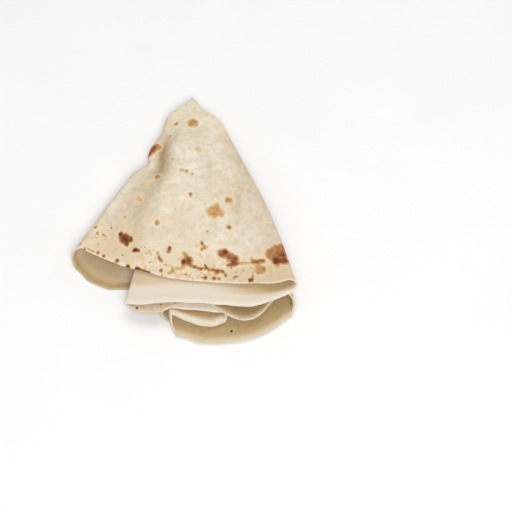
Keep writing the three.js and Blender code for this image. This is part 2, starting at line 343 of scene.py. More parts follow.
# How strong single tones of the dough are
FINE_DULL = 0.5
WIDE_DULL = 0.35
PALE_SPOTS = 0.6
INNER_FINE = 0.2
HALO_PALENESS = 0.45
# strength of the painted highlight on the crests of the soft rolls
LIP_PAINTED_HIGHLIGHT = 0.5
SHADE_DIMS_HIGHLIGHT = 0.6  # share of the painted rim highlight that the painted shade takes away

# Ranges over which a tone comes or goes: two values of a measure, then the tone's strength at each.
# Over the faces, from 0 on the inner to 1 on the outer one:
OUTER_DOUGH = (0.3, 0.7, 0, 1)
OUTER_TOAST = (0.3, 0.8, 0, 1)
# Over how much shade is painted on the bread:
INNER_PAINTED_GLOW = (0.05, 0.5, 0, 1)
LITTLE_PAINTED_SHADE = (0.25, 0.7, 1, 0)  # smears and specks fade where much shade is painted
# stray specks show only where shade is painted
STRAY_ON_SHADE = (0.25, 0.4, 0, 1)
# Over the fine patches:
PAINTED_SHADE_GRAIN = (0, 1, 0.94, 1.05)
WARM_GRAIN = (0, 1, 0.5, 1)
# Over the gap to the rim:
WARM_RIM = (5 * MM, 48 * MM, 0.55, 0)
# where the painted highlight lies along a rim
PAINTED_HIGHLIGHT_RIM = (0, 2.2 * MM, 0.5, 0)
SMEAR_RIM = (12 * MM, 44 * MM, 0.75, 0)
SPECK_RIM = (6 * MM, 32 * MM, 0.55, 0)
# Over how far a face looks up:
SPECK_FACING = (0.5, 0.8, 0, 1)
STRAY_FACING = (0, 0.3, 0, 1)
# Over how toasted the bread is:
HALO_STARTS = (0, 0.03, 0, 1)
HALO_ENDS = (0.05, 0.12, 1, 0)
THIN_TOAST_CHAR = (0, 0.25, 0, 0.25)
TOAST_COVERS = (0.03, 0.26, 0, 1)
BREAD_ROUGHNESS = (0, 1, 0.82, 0.66)

# Specks near the rims, one at most in each cell: chance between and inside clusters, and ranges of their
# size and tone
SPECK_CELLS = 300.0  # for each metre
SPECK_CHANCE = (0.1, 1)
SPECK_SIZES = (0, 1, 0.2, 0.48)
SPECK_TONES = (0, 1, 0.35, 0.95)

# Uneven charring inside the marks: grains for each metre, detail and roughness, and strengths
CHAR_FINE = (420, 4, 0.65)
CHAR_BROAD_GRAINS = 210
CHAR_BROAD = 0.25
DARK_TOAST_CHAR = 0.5
TOAST_GAIN = 1.08  # the marks look a little darker than they are given

# Crumb of the surface: grains for each metre, detail, roughness and strength
CRUMBS = [
    (520, 4, 0.6, 0.6),
    (170, 3, 0.5, 1.2),
]
CRUMB_STRENGTH = 0.7
CRUMB_DEPTH = 0.6
BREAD_SHINE = 0.25
GLOW_SHARE = 0.4  # of the light that scatters inside the bread
GLOW_REACH = (1.0, 0.9, 0.75)  # in red, green and blue
GLOW_DEPTH = 1.5

# The pale floor
FLOOR_SIZE = 6000
FLOOR_GRAINS = 14  # for each metre
FLOOR_DETAIL = 3
FLOOR_ROUGHNESS = 0.8

# Soft studio light: place from the origin, side length, and power in watts
LAMPS = {
    "window": ((250, -1000, 1400), 900, 16),
    "skylight": ((100, 800, 1700), 900, 9),
}
WORLD_LIGHT = 0.45

# Camera: the picture's middle from the origin, the view's angle above the floor and its distance
VIEW_MIDDLE = (55.59, -32.55, 0)
VIEW_ELEVATION = 63
VIEW_DISTANCE = 1150
LENS = 103.67  # on a sensor 36 mm wide

# Inputs of the bread's node tree: name, kind and value
SHEET_INPUTS = [
    ("Guides", "Geometry", None),
    ("Rows", "Int", ROWS),
    ("Neck", "Float", NECK * MM),
    ("Thickness", "Float", THICKNESS * MM),
    ("Ripple Share", "Float", RIPPLE_SHARE),
    ("Ripple Size", "Float", RIPPLE_SIZE * MM),
    ("Ragged Depth", "Float", RAGGED_DEPTH * MM),
    ("Ragged Size", "Float", RAGGED_SIZE * MM),
    ("Rim Bulge", "Float", RIM_BULGE * MM),
    ("Blister Height", "Float", BLISTER_HEIGHT * MM),
    ("Blister Size", "Float", BLISTER_SIZE * MM),
    ("Toast Rise", "Float", TOAST_RISE * MM),
    ("Seed", "Float", SEED),
    ("Toast Guides", "Object", None),
    ("Material", "Material", None),
]


def blend(first, second, share):
    return first + (second - first) * share


def smooth_step(value, low, high):
    share = min(1, max(0, (value - low) / (high - low)))
    return share * share * (3 - 2 * share)


def through(values, share):
    """A smooth curve through values at even steps, read at a share of its length."""
    last = len(values) - 1
    index = min(last - 1, int(share * last))
    step = share * last - index
    before = values[max(0, index - 1)]
    here = values[index]
    there = values[index + 1]
    after = values[min(last, index + 2)]
    leave = (there - before) / 2
    arrive = (after - here) / 2
    cubic = 2 * (here - there) + leave + arrive
    square = 3 * (there - here) - 2 * leave - arrive
    return here + step * (leave + step * (square + step * cubic))


def fold_line(fold, distance):
    """Angle of a fold line, and its offset from the tip's axis at a distance from the tip."""
    tucked = 1 - TUCK_SHARE * math.exp(-((distance / TUCK_LENGTH) ** 2))
    return math.radians(fold.angle), fold.offset * tucked


def run_height(run, share, distance):
    """Height of a run, from the pressed stack at the tip to the loose layers at the rim."""
    opening = (distance - PRESSED_END) / (FOLDED_LENGTH - PRESSED_END)
    pressed = THICKNESS / 2 + run["level"] * PITCH
    return blend(pressed, through(run["rise"], share), opening)


def run_point(run, share, distance):
    """A point of a flat run, between its two fold lines."""
    start_angle, start_offset = fold_line(FOLDS[run["start"]], distance)
    end_angle, end_offset = fold_line(FOLDS[run["end"]], distance)
    angle = blend(start_angle, end_angle, share)
    offset = blend(start_offset, end_offset, share)
    height = run_height(run, share, distance)
    return offset + distance * math.sin(angle), distance * math.cos(angle), height


def fold_point(run, following, share, run_distance, following_distance):
    """A point of the rounded fold between the end of one run and the start of the next."""
    fold = FOLDS[run["end"]]
    distance = blend(run_distance, following_distance, share)
    first = run_height(run, 1, run_distance)
    last = run_height(following, 0, following_distance)
    half = (first - last) / 2
    turn = math.pi * share
    angle, offset = fold_line(fold, distance)
    bulge = fold.side * max(LEAST_BULGE, fold.bulge * abs(half)) * math.sin(turn)
    x = offset + distance * math.sin(angle) + bulge * math.cos(angle)
    forward = distance * math.cos(angle) - bulge * math.sin(angle)
    return x, forward, (first + last) / 2 + half * math.cos(turn)


def bow_weights(weights):
    """How much each bow moves a column, from the weights of the fold lines beside it."""
    return {name: weights.get(bow.fold, 0) for name, bow in BOWS.items()}


def crown_height(run, share):
    """How far the cover's middle stands above its two folds."""
    if run["name"] != "cover":
        return 0
    flank = smooth_step(share, CROWN["foot"], CROWN["top"])
    from_right = min(1, (1 - share) / CROWN["right"])
    return CROWN["height"] * flank * (1 - (1 - from_right) ** 2)


def run_columns(run):
    """Guide columns of a flat run: where each leaves the neck, where it ends at the rim, and its values."""
    for step in range(run["columns"]):
        share = step / run["columns"]
        column = {name: run[name] for name in PLAIN_VALUES}
        for name in COURSES:
            column[name] = through(run[name], share)
        column["neck"] = run_point(run, share, NECK)
        column["rim"] = run_point(run, share, column["reach"])
        column["upper"] = 1 if run["name"] == "cover" else 0
        column["crown"] = crown_height(run, share)
        column.update(bow_weights({run["start"]: 1 - share, run["end"]: share}))
        yield column


def face_share(run, following, share):
    """How much a place round a fold belongs to the cover's face."""
    if run["name"] == "cover":
        return 1 - smooth_step(share, *FACE_TURN)
    if following["name"] == "cover":
        return 1 - smooth_step(1 - share, *FACE_TURN)
    return 0


def fold_columns(run, following):
    """Guide columns of the fold between two runs."""
    count = FOLDS[run["end"]].columns
    for step in range(count):
        share = step / count
        column = {name: blend(run[name], following[name], share) for name in PLAIN_VALUES}
        for name in COURSES:
            column[name] = blend(run[name][-1], following[name][0], share)
        column["neck"] = fold_point(run, following, share, NECK, NECK)
        column["rim"] = fold_point(run, following, share, run["reach"][-1], following["reach"][0])
        column["upper"] = face_share(run, following, share)
        column["crown"] = 0
        column.update(bow_weights({run["end"]: 1}))
        yield column


def guide_ring():
    """One guide column after another, once round the folded ring."""
    columns = []
    for run, following in zip(RUNS, RUNS[1:] + RUNS[:1]):
        columns += run_columns(run)
        columns += fold_columns(run, following)
    return columns


def placed(name, data):
    """A new object in the scene."""
    thing = bpy.data.objects.new(name, data)
    bpy.context.scene.collection.objects.link(thing)
    return thing


def point_mesh(name, points, values):
    """An object of bare points with named values on them, as a guide for a node tree."""
    mesh = bpy.data.meshes.new(name)
    mesh.from_pydata(points, [], [])
    for label, column in values.items():
        if isinstance(column[0], tuple):
            layer = mesh.attributes.new(label, "FLOAT_VECTOR", "POINT")
            layer.data.foreach_set("vector", [part for point in column for part in point])
        else:
            layer = mesh.attributes.new(label, "FLOAT", "POINT")
            layer.data.foreach_set("value", column)
    return placed(name, mesh)


def in_metres(point):
    return tuple(part * MM for part in point)


def sheet_guides():
    """The guide ring as points at the rim that carry their neck points, lengths, shares and weights."""
    ring = guide_ring()
    rims = [in_metres(column["rim"]) for column in ring]
    values = {"rim": rims, "neck": [in_metres(column["neck"]) for column in ring]}
    for name in GUIDE_LENGTHS:
        values[name] = [column[name] * MM for column in ring]
    for name in (*GUIDE_SHARES, *BOWS):
        values[name] = [column[name] for column in ring]
    return point_mesh("sheet_guides", rims, values)


def toast_dots():
    """Every toasted mark as plan x, forward, radius and darkness, with streaks as rows of dots."""
    dots = [(*mark, dark) for dark, marks in MARKS.items() for mark in marks]
    for dark, streaks in STREAKS.items():
        for x, forward, end_x, end_forward, radius in streaks:
            length = math.hypot(end_x - x, end_forward - forward)
            steps = max(1, round(length / (radius * STREAK_STEP)))
            for step in range(steps + 1):
                share = step / steps
                dots.append((blend(x, end_x, share), blend(forward, end_forward, share), radius, dark))
    return dots


def toast_guides():
    """The toasted marks as points. A small mark lies lower, so that the nearest point is the mark
    whose outline reaches furthest over a place."""
    dots = toast_dots()
    darkest = list(STAGES.values())
    widest = max(radius for _, _, radius, _ in dots)
    points = []
    for x, forward, radius, _ in dots:
        depth = math.sqrt(widest * widest - radius * radius)
        points.append(in_metres((x, forward, -depth)))
    values = {
        "radius": [radius * MM for _, _, radius, _ in dots],
        "dark": [dark for _, _, _, dark in dots],
        "stage": [float(sum(dark > limit for limit in darkest)) for _, _, _, dark in dots],
    }
    return point_mesh("toast_guides", points, values)


class Value:
    """An output of a node. Sums, differences, products and quotients with it are nodes of its tree."""

    def __init__(self, nodes, socket):
        self.nodes = nodes
        self.socket = socket

    def __add__(self, other):
        return self.nodes.calc("ADD", self, other)

    def __sub__(self, other):
        return self.nodes.calc("SUBTRACT", self, other)

    def __rsub__(self, other):
        return self.nodes.calc("SUBTRACT", other, self)

    def __mul__(self, other):
        return self.nodes.calc("MULTIPLY", self, other)

    def __truediv__(self, other):
        return self.nodes.calc("DIVIDE", self, other)

    def __rtruediv__(self, other):
        return self.nodes.calc("DIVIDE", other, self)

    __radd__ = __add__


class Nodes:
    """Short ways to add nodes to one tree. What they are fed with are plain settings or values."""

    def __init__(self, tree):
        self.tree = tree

    def feed(self, socket, value):
        if isinstance(value, Value):
            self.tree.links.new(value.socket, socket)
        else:
            socket.default_value = value

    def add(self, kind, inputs, **settings):
        node = self.tree.nodes.new(kind)
        for name, setting in settings.items():
            setattr(node, name, setting)
        for key, value in inputs.items():
            self.feed(node.inputs[key], value)
        return node

    def made(self, kind, inputs=None, output=0, **settings):
        """One output of a new node."""
        return Value(self, self.add(kind, inputs or {}, **settings).outputs[output])

    def calc(self, operation, *values):
        return self.made("ShaderNodeMath", dict(enumerate(values)), operation=operation)

    def most(self, first, second):
        return self.calc("MAXIMUM", first, second)

    def least(self, first, second):
        return self.calc("MINIMUM", first, second)

    def bell(self, distance, width):
        share = distance / width
        return self.calc("EXPONENT", share * share * -1)

    def ease(self, value, low, high, first=0.0, last=1.0):
        """Smooth step from first to last while value goes from low to high."""
        inputs = {"Value": value, "From Min": low, "From Max": high, "To Min": first, "To Max": last}
        return self.made("ShaderNodeMapRange", inputs, interpolation_type="SMOOTHSTEP")

    def vector(self, operation, *values):
        return self.made("ShaderNodeVectorMath", dict(enumerate(values)), operation=operation)

    def gap(self, first, second):
        """Distance from one point to another."""
        return self.made("ShaderNodeVectorMath", {0: first, 1: second}, "Value", operation="DISTANCE")

    def scaled(self, vector, factor):
        return self.made("ShaderNodeVectorMath", {"Vector": vector, "Scale": factor}, operation="SCALE")

    def joined(self, x, y, z):
        return self.made("ShaderNodeCombineXYZ", {"X": x, "Y": y, "Z": z})

    def split(self, vector):
        return [Value(self, part) for part in self.add("ShaderNodeSeparateXYZ", {"Vector": vector}).outputs]

    def noise(self, vector, scale, detail=2.0, roughness=0.5, output="Fac"):
        inputs = {"Vector": vector, "Scale": scale, "Detail": detail, "Roughness": roughness}
        return self.made("ShaderNodeTexNoise", inputs, output)

    def swing(self, vector, scale, detail=2.0):
        """Noise from about -1 to 1."""
        return (self.noise(vector, scale, detail) - 0.5) * 2

    def drift(self, vector, scale):
        """A direction made of noise, each part from about -1 to 1."""
        cloud = self.noise(vector, scale, output="Color")
        return self.scaled(self.vector("SUBTRACT", cloud, (0.5, 0.5, 0.5)), 2)


class SheetNodes(Nodes):
    """Ways to add the geometry nodes that the bread's tree needs."""

    def position(self):
        return self.made("GeometryNodeInputPosition")

    def named(self, name, kind="FLOAT"):
        return self.made("GeometryNodeInputNamedAttribute", {"Name": name}, data_type=kind)

    def sampled(self, geometry, value, index, kind="FLOAT"):
        inputs = {"Geometry": geometry, "Value": value, "Index": index}
        return self.made("GeometryNodeSampleIndex", inputs, data_type=kind, domain="POINT")

    def stored(self, geometry, name, value, kind="FLOAT", selection=True):
        inputs = {"Geometry": geometry, "Name": name, "Value": value, "Selection": selection}
        return self.made("GeometryNodeStoreNamedAttribute", inputs, data_type=kind, domain="POINT")

    def moved(self, geometry, **move):
        return self.made("GeometryNodeSetPosition", {"Geometry": geometry, **move})

    def merged(self, geometry):
        inputs = {"Geometry": geometry, "Distance": MERGE_DISTANCE * MM}
        return self.made("GeometryNodeMergeByDistance", inputs)

    def flipped(self, geometry):
        return self.made("GeometryNodeFlipFaces", {"Mesh": geometry})

    def extruded(self, geometry, selection=True):
        inputs = {"Mesh": geometry, "Selection": selection, "Offset Scale": 0.0, "Individual": False}
        outputs = self.add("GeometryNodeExtrudeMesh", inputs, mode="FACES").outputs
        return Value(self, outputs["Mesh"]), Value(self, outputs["Top"])


def guide_grid(nodes, source):
    """A grid with a line of points for every guide, each point's row, and a way to read its guide."""
    guides = {"Geometry": source["Guides"]}
    rows = source["Rows"]
    count = nodes.made("GeometryNodeAttributeDomainSize", guides, "Point Count", component="MESH")
    grid = nodes.made("GeometryNodeMeshGrid", {"Vertices X": count + 1, "Vertices Y": rows})
    index = nodes.made("GeometryNodeInputIndex")
    line = nodes.calc("FLOOR", (index + 0.5) / rows)
    column = nodes.calc("MODULO", line, count)

    def guide(name, kind="FLOAT"):
        return nodes.sampled(source["Guides"], nodes.named(name, kind), column, kind)

    return grid, index - line * rows, guide


def pinched_tip(nodes, straight, opened):
    """Draws the straight runs together into the tip, and tells how full the stack is from there."""
    x, forward, height = nodes.split(straight)
    x = x * opened * (1 + TIP_ROUNDNESS - opened * opened * TIP_ROUNDNESS)
    forward = blend(TIP_FORWARD * MM, forward, opened)
    fullness = nodes.calc("POWER", nodes.calc("SINE", opened * (math.pi / 2)), TIP_FLATNESS)
    height = blend(TIP_HEIGHT * MM, height, fullness)
    return x, forward, height, fullness


def bowed(nodes, guide, x, distance, opened):
    """Moves x by the bows of the fold lines."""
    for name, bow in BOWS.items():
        shape = nodes.bell(distance - bow.place * MM, bow.length * MM)
        x = x + guide(name) * shape * opened * (bow.depth * MM)
    return x


def rim_drop(nodes, guide, distance, rim_gap):
    """How far a free rim hangs down, and how far the soft roll along it stands up."""
    hang_from = guide("hang_from")
    hang_end = nodes.most(guide("reach"), hang_from + HANG_LENGTH * MM)
    hanging = guide("hang") * nodes.ease(distance, hang_from, hang_end)
    lip = guide("lip") * nodes.bell(rim_gap - guide("lip_gap"), LIP_WIDTH * MM)
    return hanging, lip


def hollow_share(nodes, upper, x, forward):
    """Where the cover's hollow lies: 1 in its middle."""
    along = forward - HOLLOW["forward"] * MM
    across = x - HOLLOW["x"] * MM - along * HOLLOW["lean"]
    return upper * nodes.bell(across, HOLLOW["across"] * MM) * nodes.bell(along, HOLLOW["along"] * MM)


def pleat_depth(nodes, x, forward, start_x, start_forward, end_x, end_forward, width, depth):
    """How deep a pleat between two plan places lies at a place."""
    run_x = end_x - start_x
    run_forward = end_forward - start_forward
    length = math.hypot(run_x, run_forward)
    x = x - start_x * MM
    forward = forward - start_forward * MM
    along = x * (run_x / length) + forward * (run_forward / length)
    across = x * (run_forward / length) - forward * (run_x / length)
    opening = nodes.ease(along, 0, length * PLEAT_FADE * MM)
    closing = nodes.ease(along, length * (1 - PLEAT_FADE) * MM, length * MM, 1, 0)
    return nodes.bell(across, width * MM) * opening * closing * (depth * MM)


def crown_rise(nodes, guide, distance, rim_gap):
    """How far the cover's crown lifts a place."""
    start = nodes.ease(distance, CROWN["start"] * MM, CROWN["full"] * MM)
    return guide("crown") * start * nodes.ease(rim_gap, 0, CROWN["fade"] * MM)


def stack_lift(nodes, source, x, forward, opened):
    """Waves and ripples that lift all layers together, as a share of the height above the floor."""
    lift = 0
    for share, across, along, phase in WAVES:
        turns = x * (2 * math.pi / (across * MM)) + forward * (2 * math.pi / (along * MM)) + phase
        lift = lift + nodes.calc("SINE", turns) * share
    growth = nodes.least(forward / (FOLDED_LENGTH * MM), 1)
    plan = nodes.joined(x, forward, source["Seed"])
    ripple = nodes.swing(plan, 1 / source["Ripple Size"], RIPPLE_DETAIL)
    return lift * growth + ripple * source["Ripple Share"] * opened


def ragged(nodes, source, place, away, rim_gap):
    """Lets the rim's line wander in and out."""
    wander = nodes.swing(place, 1 / source["Ragged Size"], RAGGED_DETAIL)
    near_rim = nodes.ease(rim_gap, 0, RAGGED_REACH * MM, 1, 0)
    return nodes.vector("ADD", place, nodes.scaled(away, wander * near_rim * source["Ragged Depth"]))


def painted_crease_shade(nodes, guide, distance, rim_gap, hollow, pleated):
    """Painted shade between the layers, in the hollow and in the pleats: how much of the shade tan a place
    gets.
    """
    damp_gap = guide("damp_gap")
    behind = nodes.ease(rim_gap, damp_gap, damp_gap + PAINTED_SHADE_RAMP * MM)
    damp = blend(guide("rim_damp"), guide("damp"), behind)
    shade_coming_in = nodes.ease(distance, PAINTED_SHADE_START * MM, PAINTED_SHADE_FULL * MM)
    # painted shade behind and at the rim, fading in from the tip, plus painted shade in the hollow and the
    # pleats
    damp = damp * shade_coming_in + hollow * HOLLOW["painted_shade_strength"] + pleated * (PLEAT_PAINTED_SHADE / MM)
    return nodes.least(damp, 1)


def sheet_middle(nodes, source, tip):
    """The middle surface: rows of points from the tip through the neck to the rim, for every guide."""
    middle, row, guide = guide_grid(nodes, source)
    neck_length = source["Neck"]
    reach = guide("reach")
    distance = nodes.calc("POWER", row / (source["Rows"] - 1), ROW_SPREAD) * reach
    rim_gap = reach - distance
    opened = nodes.least(distance / neck_length, 1)
    travel = nodes.most((distance - neck_length) / (reach - neck_length), 0)
    neck = guide("neck", "FLOAT_VECTOR")
    span = nodes.vector("SUBTRACT", guide("rim", "FLOAT_VECTOR"), neck)
    straight = nodes.vector("ADD", neck, nodes.scaled(span, travel))

    x, forward, height, fullness = pinched_tip(nodes, straight, opened)
    x = bowed(nodes, guide, x, distance, opened)
    upper = guide("upper")
    hollow = hollow_share(nodes, upper, x, forward)
    pleated = sum(upper * pleat_depth(nodes, x, forward, *pleat) for pleat in PLEATS)
    hanging, lip = rim_drop(nodes, guide, distance, rim_gap)
    height = height - (hanging - lip) - (hollow * (HOLLOW["depth"] * MM) + pleated)
    height = height + crown_rise(nodes, guide, distance, rim_gap)
    height = height + (height - THICKNESS / 2 * MM) * stack_lift(nodes, source, x, forward, opened)

    away_x, away_forward, away_up = nodes.split(nodes.vector("NORMALIZE", span))
    away = nodes.joined(away_x, away_forward * -1, away_up)
    place = nodes.joined(x + tip.x, tip.y - forward, height)
    values = {
        "upper": upper,
        "rim_gap": rim_gap,
        "lip": lip / (TALLEST_LIP * MM),
        "damp": painted_crease_shade(nodes, guide, distance, rim_gap, hollow, pleated),
        "fullness": nodes.most(fullness, TIP_THINNEST),
    }
    for name, value in values.items():
        middle = nodes.stored(middle, name, value)
    middle = nodes.stored(middle, "away", away, "FLOAT_VECTOR")
    middle = nodes.moved(middle, Position=ragged(nodes, source, place, away, rim_gap))
    return nodes.flipped(nodes.merged(middle))


def sheet_skins(nodes, middle):
    """Both faces of the bread and its rounded rim, still without thickness. level is 1 on the outer
    face, 0 round the rim's edge and -1 on the inner face."""
    normal = nodes.made("GeometryNodeInputNormal")
    middle = nodes.stored(middle, "facing", normal, "FLOAT_VECTOR")
    middle = nodes.stored(middle, "level", -1.0)
    edge, edge_top = nodes.extruded(middle)
    edge = nodes.stored(edge, "level", 0.0, selection=edge_top)
    outer, outer_top = nodes.extruded(edge, edge_top)
    outer = nodes.stored(outer, "level", 1.0, selection=outer_top)
    join = nodes.add("GeometryNodeJoinGeometry", {0: outer})
    nodes.feed(join.inputs[0], nodes.flipped(middle))
    return Value(nodes, join.outputs[0])


def stage_toast(nodes, guides, number, x, forward):
    """How toasted a place is by the marks of one stage, with soft outlines."""
    chosen = nodes.calc("COMPARE", nodes.named("stage"), float(number), STAGE_MATCH)
    inputs = {"Geometry": guides, "Selection": chosen}
    marks = nodes.made("GeometryNodeSeparateGeometry", inputs, "Selection", domain="POINT")
    place = nodes.joined(x, forward, 0)
    inputs = {"Geometry": marks, "Sample Position": place}
    nearest = nodes.made("GeometryNodeSampleNearest", inputs, domain="POINT")
    mark_x, mark_forward, _ = nodes.split(nodes.sampled(marks, nodes.position(), nearest, "FLOAT_VECTOR"))
    length = nodes.gap(place, nodes.joined(mark_x, mark_forward, 0))
    inside = 1 - length / nodes.sampled(marks, nodes.named("radius"), nearest)
    dark = nodes.sampled(marks, nodes.named("dark"), nearest)
    return nodes.ease(inside, -MARK_SOFTNESS, MARK_SOFTNESS) * dark


def toast_marks(nodes, source, skins, tip):
    """Stores how toasted every place of the cover is: the darkest of the stages."""
    guides = nodes.made("GeometryNodeObjectInfo", {"Object": source["Toast Guides"]}, "Geometry")
    position = nodes.position()
    x, y, _ = nodes.split(position)
    warp = nodes.scaled(nodes.drift(position, 1 / (MARK_WARP_SIZE * MM)), MARK_WARP * MM)
    warp_x, warp_y, _ = nodes.split(warp)
    x = x + warp_x - tip.x
    forward = tip.y - y + warp_y
    toast = 0.0
    for number in range(len(STAGES)):
        toast = nodes.most(toast, stage_toast(nodes, guides, number, x, forward))
    inputs = {"Value": toast, "Iterations": MARK_BLUR, "Weight": MARK_BLUR_WEIGHT}
    return nodes.stored(skins, "toast", nodes.made("GeometryNodeBlurAttribute", inputs, data_type="FLOAT"))


def sheet_bread(nodes, source, skins):
    """Gives the skins their thickness, blisters and rounded rim, and closes the mesh."""
    level = nodes.named("level")
    half = source["Thickness"] * 0.5 * nodes.named("fullness") * level
    blister = nodes.swing(nodes.position(), 1 / source["Blister Size"]) * source["Blister Height"]
    raised = nodes.named("toast") * source["Toast Rise"]
    relief = (blister + raised) * nodes.named("upper") * nodes.most(level, 0)
    thick = nodes.scaled(nodes.named("facing", "FLOAT_VECTOR"), half + relief)
    edge = 1 - nodes.calc("ABSOLUTE", level)
    bulge = nodes.scaled(nodes.named("away", "FLOAT_VECTOR"), edge * source["Rim Bulge"])
    bread = nodes.merged(nodes.moved(skins, Offset=nodes.vector("ADD", thick, bulge)))
    bread = nodes.stored(bread, "outer", level * 0.5 + 0.5)
    for name in ("level", "fullness", "facing", "away"):
        bread = nodes.made("GeometryNodeRemoveAttribute", {"Geometry": bread, "Name": name})
    return nodes.made("GeometryNodeSetShadeSmooth", {"Geometry": bread})


def sheet_tree(tip):
    """The tree that turns the guide ring into a folded sheet of bread."""
    tree = bpy.data.node_groups.new("folded_bread", "GeometryNodeTree")
    for name, kind, _ in SHEET_INPUTS:
        tree.interface.new_socket(name, in_out="INPUT", socket_type="NodeSocket" + kind)
    tree.interface.new_socket("Geometry", in_out="OUTPUT", socket_type="NodeSocketGeometry")
    nodes = SheetNodes(tree)
    outputs = nodes.add("NodeGroupInput", {}).outputs
    source = {name: Value(nodes, outputs[name]) for name, _, _ in SHEET_INPUTS}
    bread = sheet_skins(nodes, sheet_middle(nodes, source, tip))
    bread = sheet_bread(nodes, source, toast_marks(nodes, source, bread, tip))
    bread = nodes.made("GeometryNodeRealizeInstances", {"Geometry": bread})
    bread = nodes.made("GeometryNodeSetMaterial", {"Geometry": bread, "Material": source["Material"]})
    nodes.add("NodeGroupOutput", {"Geometry": bread})
    return tree


def set_inputs(modifier, values):
    """Sets the inputs of a modifier by the identifiers of their sockets."""
    for item in modifier.node_group.interface.items_tree:
        if item.in_out == "INPUT" and values.get(item.name) is not None:
            modifier[item.identifier] = values[item.name]


def folded_bread(tip, material):
    """The finished roti as a plain mesh."""
    guides = sheet_guides()
    marks = toast_guides()
    modifier = guides.modifiers.new("folded_bread", "NODES")
    modifier.node_group = sheet_tree(tip)
    values = {name: value for name, _, value in SHEET_INPUTS}
    values["Toast Guides"] = marks
    values["Material"] = material
    set_inputs(modifier, values)
    depsgraph = bpy.context.evaluated_depsgraph_get()
    mesh = bpy.data.meshes.new_from_object(guides.evaluated_get(depsgraph))
    mesh.name = "folded_roti"
    guides.modifiers.remove(modifier)
    for guide in (guides, marks):
        bpy.data.objects.remove(guide)
    return placed("folded_roti", mesh)


def linear(colour):
    """A screen colour in the light values that nodes take."""
    shares = Color([step / SCREEN_STEPS for step in colour])
    return (*shares.from_srgb_to_scene_linear(), 1)


class FinishNodes(Nodes):
    """Ways to add the shader nodes that the finishes need."""

    def attribute(self, name):
        return self.made("ShaderNodeAttribute", output="Fac", attribute_name=name)

    def mixed(self, factor, *colours):
        """A mix of two colours, which are screen colours or values."""
        first, second = (linear(colour) if isinstance(colour, tuple) else colour for colour in colours)
        return self.made("ShaderNodeMix", {0: factor, 6: first, 7: second}, 2, data_type="RGBA")

    def ramp(self, factor, stops):
        node = self.add("ShaderNodeValToRGB", {"Fac": factor})
        elements = node.color_ramp.elements
        while len(elements) < len(stops):
            elements.new(0.5)
        for element, (place, colour) in zip(elements, stops):
            element.position = place
            element.color = linear(colour)
        return Value(self, node.outputs["Color"])

    def patches(self, place, name, first=0.0, last=1.0):
        """How much a kind of patch shows at a place."""
        grains, detail, roughness, low, high = PATCHES[name]
        return self.ease(self.noise(place, grains, detail, roughness), low, high, first, last)


def bread_measures(nodes):
    """What the finish knows about a place of the bread."""
    names = ("outer", "upper", "rim_gap", "damp", "lip")
    spot = SimpleNamespace(**{name: nodes.attribute(name) for name in names})
    spot.place = nodes.made("ShaderNodeTexCoord", output="Object")
    _, _, spot.facing_up = nodes.split(nodes.made("ShaderNodeTexCoord", output="Normal"))
    spot.fine = nodes.patches(spot.place, "fine")
    outside = nodes.ease(spot.outer, *OUTER_TOAST)
    spot.toast = nodes.attribute("toast") * spot.upper * outside
    spot.dry_outside = outside * nodes.ease(spot.damp, *LITTLE_PAINTED_SHADE) * (1 - spot.lip)
    return spot


def dough_colour(nodes, spot):
    """Mottled dough on the outer face, and the plainer inner face, with a painted warm glow in honey where
    shade is painted on it.
    """
    dough = nodes.mixed(nodes.patches(spot.place, "broad"), CREAM, IVORY)
    dough = nodes.mixed(spot.fine * FINE_DULL, dough, DULL)
    dough = nodes.mixed(nodes.patches(spot.place, "dull") * WIDE_DULL, dough, DULL)
    dough = nodes.mixed(nodes.patches(spot.place, "pale") * PALE_SPOTS, dough, IVORY)
    inner = nodes.mixed(spot.fine * INNER_FINE, INNER, CREAM)
    # painted warm glow: honey colour where shade is painted, for light passing through and between the thin
    # layers
    inner = nodes.mixed(nodes.ease(spot.damp, *INNER_PAINTED_GLOW), inner, PAINTED_GLOW_HONEY)
    return nodes.mixed(nodes.ease(spot.outer, *OUTER_DOUGH), inner, dough)


def toned(nodes, spot, colour):
    """Adds pale halos round the marks, painted shade in the creases and between the layers, the tones of
    the rims, a painted highlight along the rims and the crests of their rolls, and ochre smears.
    """
    halo = nodes.ease(spot.toast, *HALO_STARTS) * nodes.ease(spot.toast, *HALO_ENDS)
    colour = nodes.mixed(halo * HALO_PALENESS, colour, IVORY)
    # painted shade: the tan that stands in for shade in creases and under the layers above, broken up by
    # the fine patches
    colour = nodes.mixed(spot.damp * nodes.ease(spot.fine, *PAINTED_SHADE_GRAIN), colour, PAINTED_SHADE_TAN)
    warm = nodes.ease(spot.rim_gap, *WARM_RIM) * nodes.ease(spot.fine, *WARM_GRAIN) * spot.upper
    colour = nodes.mixed(warm, colour, RIM_WARM)
    # painted highlight along the rim, dimmed where shade is painted
    pale = nodes.ease(spot.rim_gap, *PAINTED_HIGHLIGHT_RIM) * (1 - spot.damp * SHADE_DIMS_HIGHLIGHT)
    colour = nodes.mixed(pale, colour, RIM_PAINTED_HIGHLIGHT)
    # painted highlight on the crest of the soft roll along a rim
    colour = nodes.mixed(spot.lip * LIP_PAINTED_HIGHLIGHT, colour, RIM_PAINTED_HIGHLIGHT)
    smear = nodes.patches(spot.place, "smear") * spot.dry_outside
    return nodes.mixed(smear * nodes.ease(spot.rim_gap, *SMEAR_RIM), colour, SMEAR)


